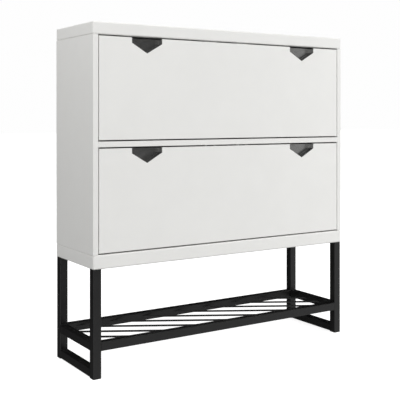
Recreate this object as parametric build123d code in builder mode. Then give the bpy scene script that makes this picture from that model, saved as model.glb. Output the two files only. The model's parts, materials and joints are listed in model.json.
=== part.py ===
from build123d import *
import os
from math import ceil, cos, radians, sin, sqrt, tan

# Shoe cabinet on a steel stand.  Two flaps tilt forward on pins and carry the shoe bins, and an
# open rack of slanting wires hangs low between the legs.
# Millimetres.  The origin is on the floor under the middle of the cabinet: +X is to the right
# as seen from the front, +Y runs to the rear and +Z is up.

os.makedirs("parts", exist_ok=True)

# ---- cabinet body ------------------------------------------------------------------------
width = 924.0
depth = 262.0
height = 1000.0
stand_height = 306.0  # floor to the underside of the bottom panel
bottom_thickness = 40.0
top_thickness = 36.0
board = 16.0  # side panels, divider and flaps
board_edge_radius = 1.0
slab_edge_radius = 4.0  # top and bottom panels
back_thickness = 3.0
back_recess = 1.5  # rear face of the back panel inside the rear edges of the cabinet
back_lap = 8.0  # width of the rebate that the back panel sits in
back_play = 0.5  # free space round the back panel in its rebates

# ---- gaps round the flaps ----------------------------------------------------------------
flap_gap = 4.0  # above and below each flap
flap_side_gap = 2.5

# ---- knock-down fittings -----------------------------------------------------------------
fitting_edge = 51.0  # front and rear edge of a board to its cam fitting
dowel_edge = 91.0  # front and rear edge of a board to its dowel
cam_radius = 7.5
cam_below_bolt = 4.5  # middle of the bolt to the bottom of the cam's pocket
cam_setback = 34.0  # end of a board to the centre of its cam
cam_play = 0.05
bolt_shank_radius = 2.75
bolt_head_radius = 3.6
bolt_head_length = 3.0
bolt_thread_radius = 3.0
bolt_thread_length = 11.0
bolt_play = 0.4
dowel_radius = 4.0
dowel_length = 30.0
dowel_short_end = 10.0  # length of dowel in the side panel at the divider
dowel_play = 0.05
dowel_end_play = 0.5

# ---- nails and screws --------------------------------------------------------------------
nail_radius = 0.8
nail_length = 20.0
nail_head_radius = 2.5
nail_head_height = 1.0
screw_play = 0.05
fixing_screw_radius = 2.5  # stand to cabinet
fixing_screw_head_radius = 5.0
fixing_screw_head_height = 2.8
fixing_screw_length = 25.0
small_screw_radius = 1.75  # bin brackets, wall brackets and catches
small_screw_head_radius = 3.5
small_screw_head_height = 2.2
small_screw_bite = 10.0  # length of screw inside the board
tiny_screw_radius = 1.2  # finger pulls and strike plates
tiny_screw_head_radius = 2.2
tiny_screw_head_height = 1.0
tiny_screw_bite = 8.0

# ---- pivots and stops of the flaps -------------------------------------------------------
tilt_range = 45.0
pivot_height = 18.0  # bottom edge of a flap to its pivot
pin_radius = 4.0
pin_in_flap = 20.0
pin_in_bush = 9.5
pin_play = 0.05  # running fit in the bush
bush_wall = 2.0
bush_flange = 1.0  # step from the barrel of the bush to the rim of its flange
bush_flange_thickness = 1.0
bush_length = 10.0
bush_play = 0.05
stop_radius = 150.0  # pivot to stop pin
stop_angle = 52.0  # direction of the stop pin above the horizontal
stop_pin_radius = 4.0
stop_pin_in_side = 10.0
stop_play = 0.3

# ---- bins behind the flaps ---------------------------------------------------------------
bracket_thickness = 5.0
bracket_side_gap = 5.0  # side panel to bracket
bracket_rim_height = 2.0
bracket_rim_width = 4.0
bracket_below = 14.0  # how far a bracket reaches below the pivot
fan_clearance = 9.0  # arc of the bracket to the board above it
fan_rear_clearance = 11.5
flange_width = 24.0
flange_thickness = 4.0
flange_short = 14.0  # top of the flange below the top of the flap
flange_hole_edge = 8.0  # free edge of the flange to its screws
shelf_board = 9.0
shelf_edge_radius = 0.6
shelf_front_gap = 4.5  # rear face of the flap to the bin boards
shelf_rear_margin = 6.0
bin_clearance = 6.0  # bin boards under the magnetic catches
lower_lip_height = 60.0
upper_lip_height = 30.0
channel_wall = 2.0
channel_reach = 8.0
channel_play = 0.1
shelf_end_play = 0.5

# ---- finger pulls ------------------------------------------------------------------------
notch_edge_distance = 153.5  # end of a flap to the middle of its notch
notch_width = 100.0
notch_side = 15.5  # height of the upright part of the notch
notch_depth = 44.5  # top edge of the flap to the point of the notch
pull_play = 0.2
pull_wall = 1.5
pull_depth = 20.0  # front of the flap to the back plate of the pull
pull_recess = 0.4
pull_top_recess = 0.5
pull_flange = 6.0

# ---- magnetic catches --------------------------------------------------------------------
catch_spacing = 120.0
catch_length = 46.0
catch_depth = 20.0
catch_height = 12.0
catch_edge_radius = 1.5
catch_air = 0.3  # magnet to strike plate with the flap shut
catch_screw_spacing = 34.0
catch_bore_depth = 8.0
magnet_length = 22.0
magnet_height = 8.0
magnet_depth = 12.0
magnet_play = 0.1
strike_length = 30.0
strike_height = 13.0
strike_thickness = 1.0
strike_from_top = 1.0

# ---- wall brackets -----------------------------------------------------------------------
wall_fixing_spacing = 600.0
wall_hole_radius = 3.0
wall_bracket_width = 40.0
wall_bracket_depth = 27.0
wall_bracket_height = 22.0
wall_bracket_thickness = 2.0
wall_bracket_bend = 3.0
wall_hole_from_top = 12.0
wall_bracket_screw_spacing = 22.0

# ---- stand -------------------------------------------------------------------------------
tube = 25.0
tube_wall = 1.5
tube_corner = 2.0
frame_inset = 1.4  # cabinet faces to the outer faces of the legs
rack_height = 89.0  # floor to the middle of the rack
foot_pad = 2.0
foot_plug_length = 15.0
foot_plug_wall = 2.0
foot_plug_play = 0.1
strap_width = 30.0
strap_thickness = 3.0
strap_overlap = 12.4  # outer part of the legs that the strap leaves free
strap_screw_spacing = 140.0
wire_radius = 3.0
wire_angle = 30.0
wire_pitch = 116.0  # along the front rail
wire_shift = 12.0  # middle wire to the middle of the rack
shortest_wire = 40.0

# ---- places worked out from the sizes ----------------------------------------------------
half_width = width / 2
front = -depth / 2
rear = depth / 2
bottom_top = stand_height + bottom_thickness
top_bottom = height - top_thickness
bay_height = (top_bottom - bottom_top - board) / 2
divider_bottom = bottom_top + bay_height
divider_top = divider_bottom + board
bay_floors = {"lower": bottom_top, "upper": divider_top}

side_inner = half_width - board
rebate_depth = back_thickness + back_recess
back_front = rear - rebate_depth
cam_depth = board / 2 + cam_below_bolt

flap_height = bay_height - 2 * flap_gap
flap_half = side_inner - flap_side_gap
flap_rear = front + board
flap_middle = front + board / 2
notch_centre = flap_half - notch_edge_distance

# Bin sizes are reckoned from the pivot: u runs to the rear and v runs up.
u_flap = board / 2
u_back = back_front - flap_middle
v_flap_top = flap_height - pivot_height
v_ceiling = v_flap_top + flap_gap
fan_radius = v_ceiling - fan_clearance
fan_rear = u_back - fan_rear_clearance
bin_reach = v_ceiling - catch_height - bin_clearance
bracket_outer = side_inner - bracket_side_gap
bracket_inner = bracket_outer - bracket_thickness
flange_top = v_flap_top - flange_short
flange_hole_x = bracket_inner - flange_width + flange_hole_edge

shelf_front = u_flap + shelf_front_gap
shelf_top = v_flap_top / 2
floor_rear = min(fan_rear, sqrt(bin_reach**2 - lower_lip_height**2)) - shelf_rear_margin
shelf_rear = min(
    fan_rear - shelf_rear_margin,
    sqrt(bin_reach**2 - (shelf_top + upper_lip_height) ** 2),
)
shelf_half = bracket_inner - shelf_end_play

leg_outer_x = half_width - frame_inset
leg_outer_y = depth / 2 - frame_inset
leg_x = leg_outer_x - tube / 2
leg_y = leg_outer_y - tube / 2
leg_inner_x = leg_outer_x - tube
leg_inner_y = leg_outer_y - tube
strap_x = leg_outer_x - strap_overlap - strap_width / 2
strap_bottom = stand_height - strap_thickness

sides = {"left": -1, "right": 1}
ends = {"front": -1, "rear": 1}


def drilled_from(x, y, z, outward):
    """Plane of a hole's mouth, with its normal pointing out of the material."""
    return Plane(origin=(x, y, z), z_dir=outward)


def both_edges(edge):
    """The two places across the depth that lie `edge` in from the front and rear edges."""
    return (front + edge, rear - edge)


# Cam fittings, as (x, y, z of the board's end face; direction into the board with the cam;
# direction in which the face that the cam is let into looks out).
cam_fittings = []
for side in sides.values():
    for y in both_edges(fitting_edge):
        side_middle = side * (half_width - board / 2)
        cam_fittings.append(((side_middle, y, bottom_top), (0, 0, 1), (-side, 0, 0)))
        cam_fittings.append(((side_middle, y, top_bottom), (0, 0, -1), (-side, 0, 0)))
        joint_centre = (side * side_inner, y, divider_bottom + board / 2)
        cam_fittings.append((joint_centre, (-side, 0, 0), (0, 0, -1)))

# Dowels, as (x, y, z at the joint; direction into the far board; length in the near board).
dowel_fittings = []
for side in sides.values():
    for y in both_edges(dowel_edge):
        side_middle = side * (half_width - board / 2)
        dowel_fittings.append(((side_middle, y, bottom_top), (0, 0, 1), dowel_length / 2))
        dowel_fittings.append(((side_middle, y, top_bottom), (0, 0, -1), dowel_length / 2))
        joint_centre = (side * side_inner, y, divider_bottom + board / 2)
        dowel_fittings.append((joint_centre, (-side, 0, 0), dowel_short_end))


def moved(point, direction, distance):
    """Point `distance` along a direction."""
    return tuple(p + distance * d for p, d in zip(point, direction))


def flipped(direction):
    """The opposite direction."""
    return tuple(-d for d in direction)


def cut_cam_seats():
    """Cam pockets and bolt bores; they only meet the boards that they belong to."""
    for joint, inward, face_out in cam_fittings:
        cam_face = moved(moved(joint, inward, cam_setback), face_out, board / 2)
        with Locations(drilled_from(*cam_face, face_out)):
            Hole(radius=cam_radius + cam_play, depth=cam_depth + cam_play)
        with BuildSketch(Plane(origin=joint, z_dir=inward)) as bore:
            Circle(bolt_head_radius + bolt_play)
        extrude(bore.sketch, amount=cam_setback, mode=Mode.SUBTRACT)


def cut_bolt_seats():
    """Pilot holes for the threads of the cam bolts."""
    for joint, inward, _ in cam_fittings:
        with BuildSketch(Plane(origin=joint, z_dir=flipped(inward))) as pilot:
            Circle(bolt_thread_radius + screw_play)
        pilot_depth = bolt_thread_length + dowel_end_play
        extrude(pilot.sketch, amount=pilot_depth, mode=Mode.SUBTRACT)


def cut_dowel_seats():
    """Dowel holes on both sides of each joint."""
    for joint, inward, near_length in dowel_fittings:
        start = moved(joint, inward, -near_length - dowel_end_play)
        with BuildSketch(Plane(origin=start, z_dir=inward)) as bore:
            Circle(dowel_radius + dowel_play)
        bore_length = dowel_length + 2 * dowel_end_play
        extrude(bore.sketch, amount=bore_length, mode=Mode.SUBTRACT)


# Nails round the back panel, as (x, z).
nail_places = []
nail_lap = back_lap / 2
bay_middles = [floor + bay_height / 2 for floor in bay_floors.values()]
for side in sides.values():
    for middle in bay_middles:
        for step in (-bay_height / 4, bay_height / 4):
            nail_places.append((side * (side_inner + nail_lap), middle + step))
for nail_z in (bottom_top - nail_lap, divider_bottom + board / 2, top_bottom + nail_lap):
    for step in (-0.75, -0.25, 0.25, 0.75):
        nail_places.append((step * side_inner, nail_z))


def cut_nail_holes():
    """Holes of the nails that hold the back panel."""
    with BuildSketch(Plane.XZ.offset(-(back_front + back_thickness))) as holes:
        with Locations(*nail_places):
            Circle(nail_radius + screw_play)
    extrude(holes.sketch, amount=nail_length + screw_play, mode=Mode.SUBTRACT)


# ---- cabinet boards ----------------------------------------------------------------------
with BuildPart() as back_panel:
    with BuildSketch(Plane.XZ.offset(-back_front)):
        with Locations((0, (bottom_top + top_bottom) / 2)):
            Rectangle(
                2 * (side_inner + back_lap - back_play),
                top_bottom - bottom_top + 2 * (back_lap - back_play),
            )
    extrude(amount=-back_thickness)
    with BuildSketch(Plane.XZ.offset(-back_front)):
        with Locations(
            (-wall_fixing_spacing / 2, top_bottom - wall_hole_from_top),
            (wall_fixing_spacing / 2, top_bottom - wall_hole_from_top),
        ):
            Circle(wall_hole_radius)
    extrude(amount=-back_thickness, mode=Mode.SUBTRACT)
    cut_nail_holes()
back_panel.part.label = "back_panel"
export_step(back_panel.part, "parts/back_panel.step")


def cut_back_rebate():
    """Rebate that the back panel sits in, cut from the boards round it."""
    with BuildSketch(Plane.XZ.offset(-back_front)) as rebate:
        with Locations((0, (bottom_top + top_bottom) / 2)):
            Rectangle(
                2 * (side_inner + back_lap),
                top_bottom - bottom_top + 2 * back_lap,
            )
    extrude(rebate.sketch, amount=-rebate_depth, mode=Mode.SUBTRACT)


def slab(underside, thickness):
    """Plain slab over the full width and depth of the cabinet."""
    with BuildSketch(Plane.XY.offset(underside)) as outline:
        Rectangle(width, depth)
    extrude(outline.sketch, amount=thickness)


with BuildPart() as bottom_panel:
    slab(stand_height, bottom_thickness)
    fillet(bottom_panel.edges(), slab_edge_radius)
    cut_back_rebate()
    cut_bolt_seats()
    cut_dowel_seats()
    cut_nail_holes()
    for side in sides.values():
        for y in (-strap_screw_spacing / 2, 0, strap_screw_spacing / 2):
            with Locations(drilled_from(side * strap_x, y, stand_height, (0, 0, -1))):
                Hole(
                    radius=fixing_screw_radius + screw_play,
                    depth=fixing_screw_length - strap_thickness + dowel_end_play,
                )
bottom_panel.part.label = "bottom_panel"
export_step(bottom_panel.part, "parts/bottom_panel.step")

catch_places = [-catch_spacing / 2, catch_spacing / 2]
catch_front = flap_rear + strike_thickness + catch_air
catch_middle = catch_front + catch_depth / 2
catch_screw_places = [
    (catch + step, catch_middle)
    for catch in catch_places
    for step in (-catch_screw_spacing / 2, catch_screw_spacing / 2)
]
wall_bracket_screw_places = [
    (side * wall_fixing_spacing / 2 + step, back_front - wall_bracket_depth / 2)
    for side in sides.values()
    for step in (-wall_bracket_screw_spacing / 2, wall_bracket_screw_spacing / 2)
]


def cut_screw_pilots(places, ceiling):
    """Pilot holes for small screws that are driven up into the board above."""
    for x, y in places:
        with Locations(drilled_from(x, y, ceiling, (0, 0, -1))):
            Hole(radius=small_screw_radius + screw_play, depth=small_screw_bite + dowel_end_play)


with BuildPart() as top_panel:
    slab(top_bottom, top_thickness)
    fillet(top_panel.edges(), slab_edge_radius)
    cut_back_rebate()
    cut_bolt_seats()
    cut_dowel_seats()
    cut_nail_holes()
    cut_screw_pilots(catch_screw_places, top_bottom)
    cut_screw_pilots(wall_bracket_screw_places, top_bottom)
top_panel.part.label = "top_panel"
export_step(top_panel.part, "parts/top_panel.step")

with BuildPart() as divider_panel:
    with BuildSketch(Plane.XY.offset(divider_bottom)):
        with Locations((0, (front + back_front) / 2)):
            Rectangle(2 * side_inner, back_front - front)
    extrude(amount=board)
    front_edges = divider_panel.edges().filter_by(Axis.X).group_by(Axis.Y)[0]
    fillet(front_edges, board_edge_radius)
    cut_cam_seats()
    cut_dowel_seats()
    cut_nail_holes()
    cut_screw_pilots(catch_screw_places, divider_bottom)
divider_panel.part.label = "divider_panel"
export_step(divider_panel.part, "parts/divider_panel.step")


def at_pivot(x, floor):
    """Plane across the cabinet at a flap's pivot: local x runs to the rear, local y runs up."""
    pivot_z = floor + flap_gap + pivot_height
    return Plane(origin=(x, flap_middle, pivot_z), x_dir=(0, 1, 0), z_dir=(1, 0, 0))


bush_radius = pin_radius + pin_play + bush_wall
stop_u = stop_radius * cos(radians(stop_angle))
stop_v = stop_radius * sin(radians(stop_angle))

for side_name, side in sides.items():
    with BuildPart() as side_panel:
        with BuildSketch(Plane.XY.offset(bottom_top)):
            with Locations((side * (half_width - board / 2), 0)):
                Rectangle(board, depth)
        extrude(amount=top_bottom - bottom_top)
        fillet(side_panel.edges().filter_by(Axis.Z), board_edge_radius)
        cut_back_rebate()
        cut_cam_seats()
        cut_bolt_seats()
        cut_dowel_seats()
        cut_nail_holes()
        for floor in bay_floors.values():
            with BuildSketch(at_pivot(side * side_inner, floor)):
                Circle(bush_radius + bush_play)
            extrude(amount=side * (bush_length + bush_play), mode=Mode.SUBTRACT)
            with BuildSketch(at_pivot(side * side_inner, floor)):
                with Locations((stop_u, stop_v)):
                    Circle(stop_pin_radius + screw_play)
            extrude(amount=side * (stop_pin_in_side + screw_play), mode=Mode.SUBTRACT)
    side_panel.part.label = f"side_panel_{side_name}"
    export_step(side_panel.part, f"parts/side_panel_{side_name}.step")

# ---- knock-down fittings -----------------------------------------------------------------
with BuildPart() as cam_locks:
    for joint, inward, face_out in cam_fittings:
        cam_face = moved(moved(joint, inward, cam_setback), face_out, board / 2)
        with BuildSketch(Plane(origin=cam_face, z_dir=flipped(face_out))):
            Circle(cam_radius)
        extrude(amount=cam_depth)
        with BuildSketch(Plane(origin=joint, z_dir=inward)):
            Circle(bolt_head_radius + bolt_play)
        extrude(amount=cam_setback + bolt_head_radius, mode=Mode.SUBTRACT)
        with BuildSketch(Plane(origin=cam_face, z_dir=flipped(face_out))):
            Rectangle(cam_radius, bolt_head_length / 3)
            Rectangle(bolt_head_length / 3, cam_radius)
        extrude(amount=bolt_head_length / 2, mode=Mode.SUBTRACT)
cam_locks.part.label = "cam_locks"
export_step(cam_locks.part, "parts/cam_locks.step")

with BuildPart() as cam_bolts:
    for joint, inward, _ in cam_fittings:
        with BuildSketch(Plane(origin=joint, z_dir=flipped(inward))):
            Circle(bolt_thread_radius)
        extrude(amount=bolt_thread_length)
        with BuildSketch(Plane(origin=joint, z_dir=inward)):
            Circle(bolt_shank_radius)
        extrude(amount=cam_setback)
        with BuildSketch(Plane(origin=moved(joint, inward, cam_setback), z_dir=inward)):
            Circle(bolt_head_radius)
        extrude(amount=bolt_head_length)
cam_bolts.part.label = "cam_bolts"
export_step(cam_bolts.part, "parts/cam_bolts.step")

with BuildPart() as dowels:
    for joint, inward, near_length in dowel_fittings:
        with BuildSketch(Plane(origin=moved(joint, inward, -near_length), z_dir=inward)):
            Circle(dowel_radius)
        extrude(amount=dowel_length)
dowels.part.label = "dowels"
export_step(dowels.part, "parts/dowels.step")

with BuildPart() as back_panel_nails:
    with BuildSketch(Plane.XZ.offset(-(back_front + back_thickness))):
        with Locations(*nail_places):
            Circle(nail_radius)
    extrude(amount=nail_length)
    with BuildSketch(Plane.XZ.offset(-(back_front + back_thickness))):
        with Locations(*nail_places):
            Circle(nail_head_radius)
    extrude(amount=-nail_head_height)
back_panel_nails.part.label = "back_panel_nails"
export_step(back_panel_nails.part, "parts/back_panel_nails.step")

# ---- pivot bushes and stop pins in the side panels ---------------------------------------
with BuildPart() as pivot_bushes:
    for side in sides.values():
        for floor in bay_floors.values():
            with BuildSketch(at_pivot(side * side_inner, floor)):
                Circle(bush_radius)
            extrude(amount=side * bush_length)
            with BuildSketch(at_pivot(side * side_inner, floor)):
                Circle(bush_radius + bush_flange)
            extrude(amount=-side * bush_flange_thickness)
            flange_face = side * (side_inner - bush_flange_thickness)
            with BuildSketch(at_pivot(flange_face, floor)):
                Circle(pin_radius + pin_play)
            extrude(amount=side * (bush_length + bush_flange_thickness), mode=Mode.SUBTRACT)
pivot_bushes.part.label = "pivot_bushes"
export_step(pivot_bushes.part, "parts/pivot_bushes.step")

with BuildPart() as stop_pins:
    for side in sides.values():
        for floor in bay_floors.values():
            with BuildSketch(at_pivot(side * (side_inner + stop_pin_in_side), floor)):
                with Locations((stop_u, stop_v)):
                    Circle(stop_pin_radius)
            pin_length = stop_pin_in_side + bracket_side_gap + bracket_thickness - stop_play
            extrude(amount=-side * pin_length)
stop_pins.part.label = "stop_pins"
export_step(stop_pins.part, "parts/stop_pins.step")

# ---- magnetic catches --------------------------------------------------------------------
catch_ceilings = [divider_bottom, top_bottom]

with BuildPart() as catch_housings:
    for ceiling in catch_ceilings:
        catch_bottom = ceiling - catch_height
        with BuildSketch(Plane.XY.offset(catch_bottom)):
            with Locations(*[(x, catch_middle) for x in catch_places]):
                RectangleRounded(catch_length, catch_depth, catch_edge_radius)
        extrude(amount=catch_height)
        with BuildSketch(Plane.XY.offset(catch_bottom)):
            with Locations(*catch_screw_places):
                Circle(small_screw_radius + screw_play)
        extrude(amount=catch_height, mode=Mode.SUBTRACT)
        with BuildSketch(Plane.XY.offset(catch_bottom)):
            with Locations(*catch_screw_places):
                Circle(small_screw_head_radius + screw_play)
        extrude(amount=catch_bore_depth, mode=Mode.SUBTRACT)
        with BuildSketch(Plane.XZ.offset(-catch_front)):
            with Locations(*[(x, ceiling - catch_height / 2) for x in catch_places]):
                Rectangle(magnet_length + 2 * magnet_play, magnet_height + 2 * magnet_play)
        extrude(amount=-(magnet_depth + magnet_play), mode=Mode.SUBTRACT)
catch_housings.part.label = "catch_housings"
export_step(catch_housings.part, "parts/catch_housings.step")

with BuildPart() as catch_magnets:
    for ceiling in catch_ceilings:
        with BuildSketch(Plane.XZ.offset(-catch_front)):
            with Locations(*[(x, ceiling - catch_height / 2) for x in catch_places]):
                Rectangle(magnet_length, magnet_height)
        extrude(amount=-magnet_depth)
catch_magnets.part.label = "catch_magnets"
export_step(catch_magnets.part, "parts/catch_magnets.step")

with BuildPart() as catch_screws:
    for ceiling in catch_ceilings:
        head_seat = ceiling - catch_height + catch_bore_depth
        with BuildSketch(Plane.XY.offset(head_seat)):
            with Locations(*catch_screw_places):
                Circle(small_screw_radius)
        extrude(amount=catch_height - catch_bore_depth + small_screw_bite)
        with BuildSketch(Plane.XY.offset(head_seat)):
            with Locations(*catch_screw_places):
                Circle(small_screw_head_radius)
        extrude(amount=-small_screw_head_height)
catch_screws.part.label = "catch_screws"
export_step(catch_screws.part, "parts/catch_screws.step")

# ---- wall brackets -----------------------------------------------------------------------
for side_name, side in sides.items():
    bracket_centre = side * wall_fixing_spacing / 2
    with BuildPart() as wall_bracket:
        with BuildSketch(Plane.YZ.offset(bracket_centre - wall_bracket_width / 2)):
            with Locations((back_front, top_bottom)):
                Rectangle(
                    wall_bracket_depth,
                    wall_bracket_thickness,
                    align=(Align.MAX, Align.MAX),
                )
                Rectangle(
                    wall_bracket_thickness,
                    wall_bracket_height,
                    align=(Align.MAX, Align.MAX),
                )
        extrude(amount=wall_bracket_width)
        bend_edges = wall_bracket.edges().filter_by(Axis.X)
        inner_bend = bend_edges.sort_by_distance(
            (
                bracket_centre,
                back_front - wall_bracket_thickness,
                top_bottom - wall_bracket_thickness,
            )
        )[0]
        fillet(inner_bend, wall_bracket_bend - wall_bracket_thickness)
        wall_mouth = (bracket_centre, back_front, top_bottom - wall_hole_from_top)
        with Locations(drilled_from(*wall_mouth, (0, 1, 0))):
            Hole(radius=wall_hole_radius, depth=2 * wall_bracket_thickness)
        for x, y in wall_bracket_screw_places:
            with Locations(drilled_from(x, y, top_bottom, (0, 0, 1))):
                Hole(radius=small_screw_radius + screw_play, depth=2 * wall_bracket_thickness)
    wall_bracket.part.label = f"wall_bracket_{side_name}"
    export_step(wall_bracket.part, f"parts/wall_bracket_{side_name}.step")

with BuildPart() as wall_bracket_screws:
    with BuildSketch(Plane.XY.offset(top_bottom - wall_bracket_thickness)):
        with Locations(*wall_bracket_screw_places):
            Circle(small_screw_radius)
    extrude(amount=wall_bracket_thickness + small_screw_bite)
    with BuildSketch(Plane.XY.offset(top_bottom - wall_bracket_thickness)):
        with Locations(*wall_bracket_screw_places):
            Circle(small_screw_head_radius)
    extrude(amount=-small_screw_head_height)
wall_bracket_screws.part.label = "wall_bracket_screws"
export_step(wall_bracket_screws.part, "parts/wall_bracket_screws.step")


# ---- flaps and bins ----------------------------------------------------------------------
def notch_outline(plane, centre_x, flap_top, grow, cap):
    """House-shaped outline of a finger notch, grown outwards and ending at height `cap`."""
    with BuildSketch(plane) as outline:
        with BuildLine():
            Polyline(
                (centre_x - notch_width / 2, flap_top + notch_depth),
                (centre_x - notch_width / 2, flap_top - notch_side),
                (centre_x, flap_top - notch_depth),
                (centre_x + notch_width / 2, flap_top - notch_side),
                (centre_x + notch_width / 2, flap_top + notch_depth),
                close=True,
            )
        make_face()
        if grow != 0:
            offset(amount=grow, kind=Kind.INTERSECTION, mode=Mode.REPLACE)
        with Locations((centre_x, cap)):
            Rectangle(
                2 * notch_width,
                4 * notch_depth,
                align=(Align.CENTER, Align.MAX),
                mode=Mode.INTERSECT,
            )
    return outline.sketch


def channel_pockets():
    """Pockets in a bracket that take the ends of the bin boards, as (u, v, length, height)."""
    play = channel_play
    return [
        (shelf_front - play, -shelf_board - play, floor_rear - shelf_front + 2 * play,
         shelf_board + 2 * play),
        (floor_rear - shelf_board - play, -play, shelf_board + 2 * play,
         lower_lip_height + 2 * play),
        (shelf_front - play, shelf_top - shelf_board - play,
         shelf_rear - shelf_front + 2 * play, shelf_board + 2 * play),
        (shelf_rear - shelf_board - play, shelf_top - play, shelf_board + 2 * play,
         upper_lip_height + 2 * play),
    ]


def pocket_rectangles(grow, mode):
    """Draws the channel pockets in the open sketch, grown outwards by `grow`."""
    for u, v, length, rise in channel_pockets():
        with Locations((u - grow, v - grow)):
            Rectangle(
                length + 2 * grow,
                rise + 2 * grow,
                align=(Align.MIN, Align.MIN),
                mode=mode,
            )


def fan_profile(shrink):
    """Quarter-round outline of a bracket, drawn in the open sketch."""
    fan_front = u_flap + shrink
    fan_bottom = -bracket_below + shrink
    Circle(fan_radius - shrink)
    with Locations((fan_front, fan_bottom)):
        Rectangle(
            fan_rear - shrink - fan_front,
            fan_radius + bracket_below,
            align=(Align.MIN, Align.MIN),
            mode=Mode.INTERSECT,
        )


slot_path = CenterArc((0, 0), stop_radius, stop_angle - tilt_range, tilt_range)
flange_hole_heights = [
    shelf_top / 4,
    shelf_top * 3 / 4,
    (shelf_top + flange_top) / 2 - shelf_top / 4,
    (shelf_top + flange_top) / 2 + shelf_top / 4,
]

for bay, floor in bay_floors.items():
    flap_bottom = floor + flap_gap
    flap_top = flap_bottom + flap_height
    pivot_z = flap_bottom + pivot_height
    pull_cap = flap_top - pull_top_recess
    strike_middle = flap_top - strike_from_top - strike_height / 2
    pull_screw_z = flap_top - notch_side / 2

    # Flap board with its notches, pin holes and screw pilots.
    with BuildPart() as flap_panel:
        with BuildSketch(Plane.XZ.offset(-front)):
            with Locations((0, flap_bottom + flap_height / 2)):
                Rectangle(2 * flap_half, flap_height)
        extrude(amount=-board)
        for side in sides.values():
            notch = notch_outline(Plane.XZ.offset(-front), side * notch_centre, flap_top, 0,
                                  flap_top + notch_side)
            extrude(notch, amount=-board, mode=Mode.SUBTRACT)
        fillet(flap_panel.faces().sort_by(Axis.Y)[0].edges(), board_edge_radius)
        for side in sides.values():
            with BuildSketch(Plane.YZ.offset(side * flap_half)):
                with Locations((flap_middle, pivot_z)):
                    Circle(pin_radius + bush_play)
            extrude(amount=-side * (pin_in_flap + bush_play), mode=Mode.SUBTRACT)
            for v in flange_hole_heights:
                mouth = (side * flange_hole_x, flap_rear, pivot_z + v)
                with Locations(drilled_from(*mouth, (0, 1, 0))):
                    Hole(radius=small_screw_radius + screw_play, depth=small_screw_bite)
            for step in (-1, 1):
                mouth_x = side * notch_centre + step * (notch_width + pull_flange) / 2
                with Locations(drilled_from(mouth_x, flap_rear, pull_screw_z, (0, 1, 0))):
                    Hole(radius=tiny_screw_radius + screw_play, depth=tiny_screw_bite)
            with Locations(
                drilled_from(side * catch_spacing / 2, flap_rear, strike_middle, (0, 1, 0))
            ):
                Hole(radius=tiny_screw_radius + screw_play, depth=tiny_screw_bite)
    flap_panel.part.label = f"{bay}_flap_panel"
    export_step(flap_panel.part, f"parts/{bay}_flap_panel.step")

    # Finger pulls: cups that line the notches, with a flange behind the flap.
    for side_name, side in sides.items():
        centre_x = side * notch_centre
        with BuildPart() as pull:
            pull_front = front + pull_recess
            cup_length = pull_depth - pull_recess
            rear_plane = Plane.XZ.offset(-flap_rear)
            front_plane = Plane.XZ.offset(-pull_front)
            flange = notch_outline(rear_plane, centre_x, flap_top, pull_flange, pull_cap)
            extrude(flange, amount=-pull_wall)
            cup = notch_outline(front_plane, centre_x, flap_top, -pull_play, pull_cap)
            extrude(cup, amount=-(cup_length + pull_wall))
            hollow = notch_outline(front_plane, centre_x, flap_top, -pull_play - pull_wall,
                                   pull_cap)
            extrude(hollow, amount=-cup_length, mode=Mode.SUBTRACT)
            for step in (-1, 1):
                hole_x = centre_x + step * (notch_width + pull_flange) / 2
                with Locations(drilled_from(hole_x, flap_rear, pull_screw_z, (0, 1, 0))):
                    Hole(radius=tiny_screw_radius + screw_play, depth=2 * pull_wall)
        pull.part.label = f"{bay}_pull_{side_name}"
        export_step(pull.part, f"parts/{bay}_pull_{side_name}.step")

    with BuildPart() as pull_screws:
        screw_places = [
            (side * notch_centre + step * (notch_width + pull_flange) / 2, pull_screw_z)
            for side in sides.values()
            for step in (-1, 1)
        ]
        with BuildSketch(Plane.XZ.offset(-(flap_rear + pull_wall))):
            with Locations(*screw_places):
                Circle(tiny_screw_radius)
        extrude(amount=pull_wall + tiny_screw_bite - dowel_end_play)
        with BuildSketch(Plane.XZ.offset(-(flap_rear + pull_wall))):
            with Locations(*screw_places):
                Circle(tiny_screw_head_radius)
        extrude(amount=-tiny_screw_head_height)
    pull_screws.part.label = f"{bay}_pull_screws"
    export_step(pull_screws.part, f"parts/{bay}_pull_screws.step")

    # Strike plates that the magnets hold, each with one countersunk screw.
    strike_places = [(side * catch_spacing / 2, strike_middle) for side in sides.values()]
    with BuildPart() as strike_plates:
        with BuildSketch(Plane.XZ.offset(-flap_rear)):
            with Locations(*strike_places):
                RectangleRounded(strike_length, strike_height, 2 * strike_thickness)
        extrude(amount=-strike_thickness)
        for x, z in strike_places:
            with Locations(drilled_from(x, flap_rear + strike_thickness, z, (0, 1, 0))):
                CounterSinkHole(
                    radius=tiny_screw_radius + screw_play,
                    counter_sink_radius=tiny_screw_head_radius + screw_play,
                    depth=2 * strike_thickness,
                    counter_sink_angle=90,
                )
    strike_plates.part.label = f"{bay}_strike_plates"
    export_step(strike_plates.part, f"parts/{bay}_strike_plates.step")

    with BuildPart() as strike_screws:
        head_cone = tiny_screw_head_radius - tiny_screw_radius
        with BuildSketch(Plane.XZ.offset(-(flap_rear + strike_thickness))):
            with Locations(*strike_places):
                Circle(tiny_screw_radius)
        extrude(amount=strike_thickness + tiny_screw_bite - dowel_end_play)
        for x, z in strike_places:
            with BuildSketch(Plane(origin=(x, flap_rear + strike_thickness, z),
                                   z_dir=(0, -1, 0))):
                Circle(tiny_screw_head_radius)
            with BuildSketch(Plane(origin=(x, flap_rear + strike_thickness - head_cone, z),
                                   z_dir=(0, -1, 0))):
                Circle(tiny_screw_radius)
            loft()
    strike_screws.part.label = f"{bay}_strike_screws"
    export_step(strike_screws.part, f"parts/{bay}_strike_screws.step")

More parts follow.
